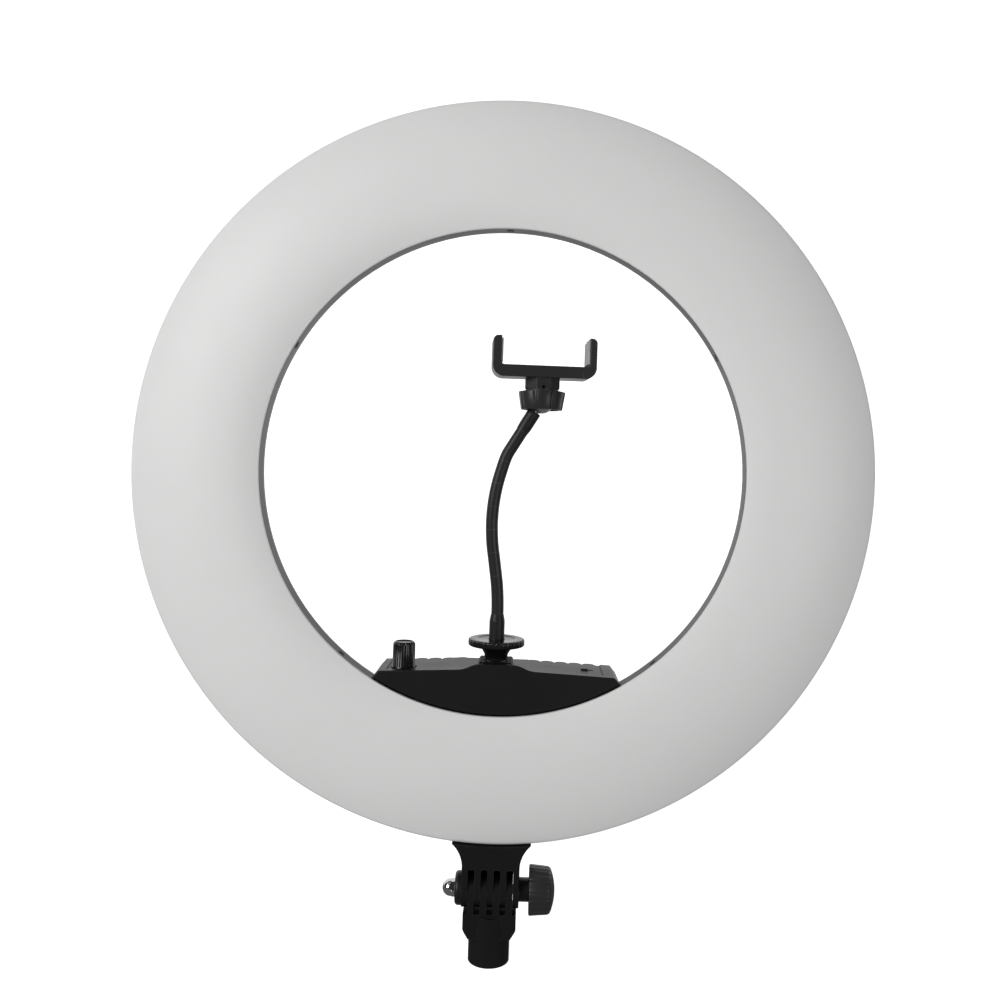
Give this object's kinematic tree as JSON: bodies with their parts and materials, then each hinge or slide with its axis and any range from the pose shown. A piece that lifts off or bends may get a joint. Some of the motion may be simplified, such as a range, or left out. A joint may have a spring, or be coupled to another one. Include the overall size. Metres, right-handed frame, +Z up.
{
  "type": "ring light",
  "caption": "Ring-shaped studio light head with a domed milky diffuser, a tilting stand socket, and a sprung phone holder on a gooseneck.",
  "frame": {"origin": "centre of the stand socket's mouth, at the bottom of the bracket", "axes": "+Z up along the stand, the light faces -Y, +X to the viewer's right, on the tilt knob's side"},
  "size_m": [0.4849, 0.0599, 0.5625],
  "materials": {
    "milky": "milky translucent acrylic, satin",
    "black_shell": "moulded black ABS with fine grain",
    "black_grip": "moulded black ABS, satin",
    "black_clamp": "moulded black nylon",
    "sheath": "smooth black PVC sleeve",
    "ferrule": "black, satin",
    "chrome": "bright nickel plating",
    "steel": "zinc-plated steel",
    "black_screw": "black oxide",
    "brass": "turned brass",
    "shoe_metal": "black coated steel",
    "board": "white solder mask on aluminium and fibre board",
    "led": "phosphor-coated light chip",
    "component": "moulded electronic parts",
    "switch_nub": "black acetal",
    "wire": "black jacket",
    "nylon": "natural nylon",
    "pad": "light grey foam rubber"
  },
  "bodies": {
    "stand": {"stand_bracket": "black_shell", "lock_insert": "brass"},
    "lock_pad": {"lock_tip": "nylon"},
    "lock_grip": {"lock_screw": "steel", "lock_knob": "black_grip"},
    "head": {"tilt_neck": "black_shell", "plate_screws": "steel", "bolt_washer": "black_shell", "tilt_bolt": "steel", "dome_nut": "chrome", "rear_housing": "black_shell", "diffuser": "milky", "led_boards": "board", "led_chips": "led", "board_screws": "steel", "housing_screws": "steel", "bore_screws": "black_screw", "box_case": "black_shell", "box_cover": "black_shell", "cover_screws": "steel", "box_screws": "steel", "driver_board": "board", "driver_parts": "component", "dimmer_pot": "component", "dimmer_nut": "steel", "switch_body": "component", "dc_jack": "component", "led_cables": "wire", "hot_shoe": "shoe_metal", "shoe_screws": "black_screw"},
    "tilt_washer": {"knob_washer": "black_shell"},
    "tilt_grip": {"tilt_knob": "black_grip", "knob_insert": "brass"},
    "dimmer": {"dimmer_shaft": "steel", "dimmer_knob": "black_grip"},
    "switch": {"switch_slider": "switch_nub"},
    "shoe_mount": {"shoe_foot": "black_screw", "base_ferrule": "ferrule"},
    "wheel_washer": {"lock_washer": "black_screw"},
    "wheel": {"lock_wheel": "black_grip"},
    "ball_side": {"ball_liner": "nylon"},
    "ball_fore": {"ball_seat": "nylon"},
    "holder": {"clamp_body": "black_clamp", "set_screw": "black_screw", "left_pad": "pad", "clamp_spring": "steel"},
    "collar": {"collar_nut": "black_grip"},
    "jaw": {"clamp_slider": "black_clamp", "clamp_rods": "steel", "right_pad": "pad"},
    "neck_1": {"neck_link_1": "sheath"},
    "neck_2": {"neck_link_2": "sheath"},
    "neck_3": {"neck_link_3": "sheath"},
    "neck_4": {"neck_link_4": "sheath"},
    "neck_5": {"neck_link_5": "sheath"},
    "neck_6": {"neck_link_6": "sheath"},
    "neck_7": {"neck_link_7": "sheath"},
    "neck_8": {"neck_link_8": "sheath", "top_ferrule": "ferrule", "ball_stud": "steel"}
  },
  "joints": [
    {"name": "lock_pad_travel", "type": "slide", "parent": "stand", "child": "lock_pad", "axis": [0, 1, 0], "range_m": [-0.0002, 0.002]},
    {"name": "lock_screw_turn", "type": "hinge", "parent": "lock_pad", "child": "lock_grip", "pos_m": [0, 0, 0.014], "axis": [0, 1, 0], "range_deg": [-72, 720]},
    {"name": "head_tilt", "type": "hinge", "parent": "stand", "child": "head", "pos_m": [0, 0, 0.046], "axis": [1, 0, 0], "range_deg": [-90, 90]},
    {"name": "tilt_washer_travel", "type": "slide", "parent": "head", "child": "tilt_washer", "axis": [1, 0, 0], "range_m": [0, 0.001]},
    {"name": "tilt_knob_turn", "type": "hinge", "parent": "tilt_washer", "child": "tilt_grip", "pos_m": [0, 0, 0.046], "axis": [1, 0, 0], "range_deg": [0, 360]},
    {"name": "dimmer_turn", "type": "hinge", "parent": "head", "child": "dimmer", "pos_m": [-0.0609, -0.0065, 0.32], "axis": [0, 0, 1], "range_deg": [-280, 0]},
    {"name": "power_switch", "type": "slide", "parent": "head", "child": "switch", "axis": [1, 0, 0], "range_m": [0, 0.0032]},
    {"name": "shoe_slide", "type": "slide", "parent": "head", "child": "shoe_mount", "axis": [0, 1, 0], "range_m": [0, 0.012]},
    {"name": "lock_washer_lift", "type": "slide", "parent": "shoe_mount", "child": "wheel_washer", "axis": [0, 0, 1], "range_m": [0, 0.00127]},
    {"name": "lock_wheel_turn", "type": "hinge", "parent": "wheel_washer", "child": "wheel", "pos_m": [-0.0012, 0.004, 0.32], "axis": [0, 0, 1], "range_deg": [0, 360]},
    {"name": "neck_side_bend", "type": "hinge", "parent": "shoe_mount", "child": "neck_1", "pos_m": [-0.0012, 0.004, 0.2285], "axis": [0, 1, 0], "range_deg": [-3.5, 3.5]},
    {"name": "neck_fore_bend", "type": "hinge", "parent": "neck_1", "child": "neck_2", "pos_m": [-0.00193, 0.004, 0.24388], "axis": [1, 0, 0], "range_deg": [-12, 12]},
    {"name": "neck_side_bend_2", "type": "hinge", "parent": "neck_2", "child": "neck_3", "pos_m": [-0.00398, 0.004, 0.25914], "axis": [0, 1, 0], "range_deg": [-3.5, 3.5]},
    {"name": "neck_fore_bend_2", "type": "hinge", "parent": "neck_3", "child": "neck_4", "pos_m": [-0.0061, 0.004, 0.27439], "axis": [1, 0, 0], "range_deg": [-12, 12]},
    {"name": "neck_side_bend_3", "type": "hinge", "parent": "neck_4", "child": "neck_5", "pos_m": [-0.00661, 0.004, 0.28977], "axis": [0, 1, 0], "range_deg": [-3.5, 3.5]},
    {"name": "neck_fore_bend_3", "type": "hinge", "parent": "neck_5", "child": "neck_6", "pos_m": [-0.00515, 0.004, 0.30509], "axis": [1, 0, 0], "range_deg": [-12, 12]},
    {"name": "neck_side_bend_4", "type": "hinge", "parent": "neck_6", "child": "neck_7", "pos_m": [-0.00174, 0.004, 0.3201], "axis": [0, 1, 0], "range_deg": [-3.5, 3.5]},
    {"name": "neck_fore_bend_4", "type": "hinge", "parent": "neck_7", "child": "neck_8", "pos_m": [0.00355, 0.004, 0.33455], "axis": [1, 0, 0], "range_deg": [-12, 12]},
    {"name": "ball_side_tilt", "type": "hinge", "parent": "neck_8", "child": "ball_side", "pos_m": [0.02374, 0.004, 0.36803], "axis": [0, 1, 0], "range_deg": [-2, 62]},
    {"name": "ball_fore_tilt", "type": "hinge", "parent": "ball_side", "child": "ball_fore", "pos_m": [0.02374, 0.004, 0.36803], "axis": [1, 0, 0], "range_deg": [-20, 20]},
    {"name": "ball_swivel", "type": "hinge", "parent": "ball_fore", "child": "holder", "pos_m": [0.02374, 0.004, 0.36803], "axis": [0, 0, 1], "continuous": true},
    {"name": "collar_turn", "type": "hinge", "parent": "holder", "child": "collar", "pos_m": [0.02374, 0.004, 0.36803], "axis": [0, 0, 1], "range_deg": [0, 180]},
    {"name": "jaw_slide", "type": "slide", "parent": "holder", "child": "jaw", "axis": [0.9969, 0.0785, 0], "range_m": [0, 0.028], "stiffness_N_per_m": 250, "springref_m": -0.03, "deforming": ["clamp_spring"]}
  ],
  "couplings": [
    {"joint": "lock_screw_turn", "follows": "lock_pad_travel", "rad_per_m": 6283.2},
    {"joint": "tilt_washer_travel", "follows": "tilt_knob_turn", "m_per_rad": 0.00015915},
    {"joint": "lock_washer_lift", "follows": "lock_wheel_turn", "m_per_rad": 0.00020213},
    {"joint": "neck_side_bend_2", "follows": "neck_side_bend", "ratio": 1},
    {"joint": "neck_side_bend_3", "follows": "neck_side_bend", "ratio": 1},
    {"joint": "neck_side_bend_4", "follows": "neck_side_bend", "ratio": 1},
    {"joint": "neck_fore_bend_2", "follows": "neck_fore_bend", "ratio": 1},
    {"joint": "neck_fore_bend_3", "follows": "neck_fore_bend", "ratio": 1},
    {"joint": "neck_fore_bend_4", "follows": "neck_fore_bend", "ratio": 1}
  ]
}
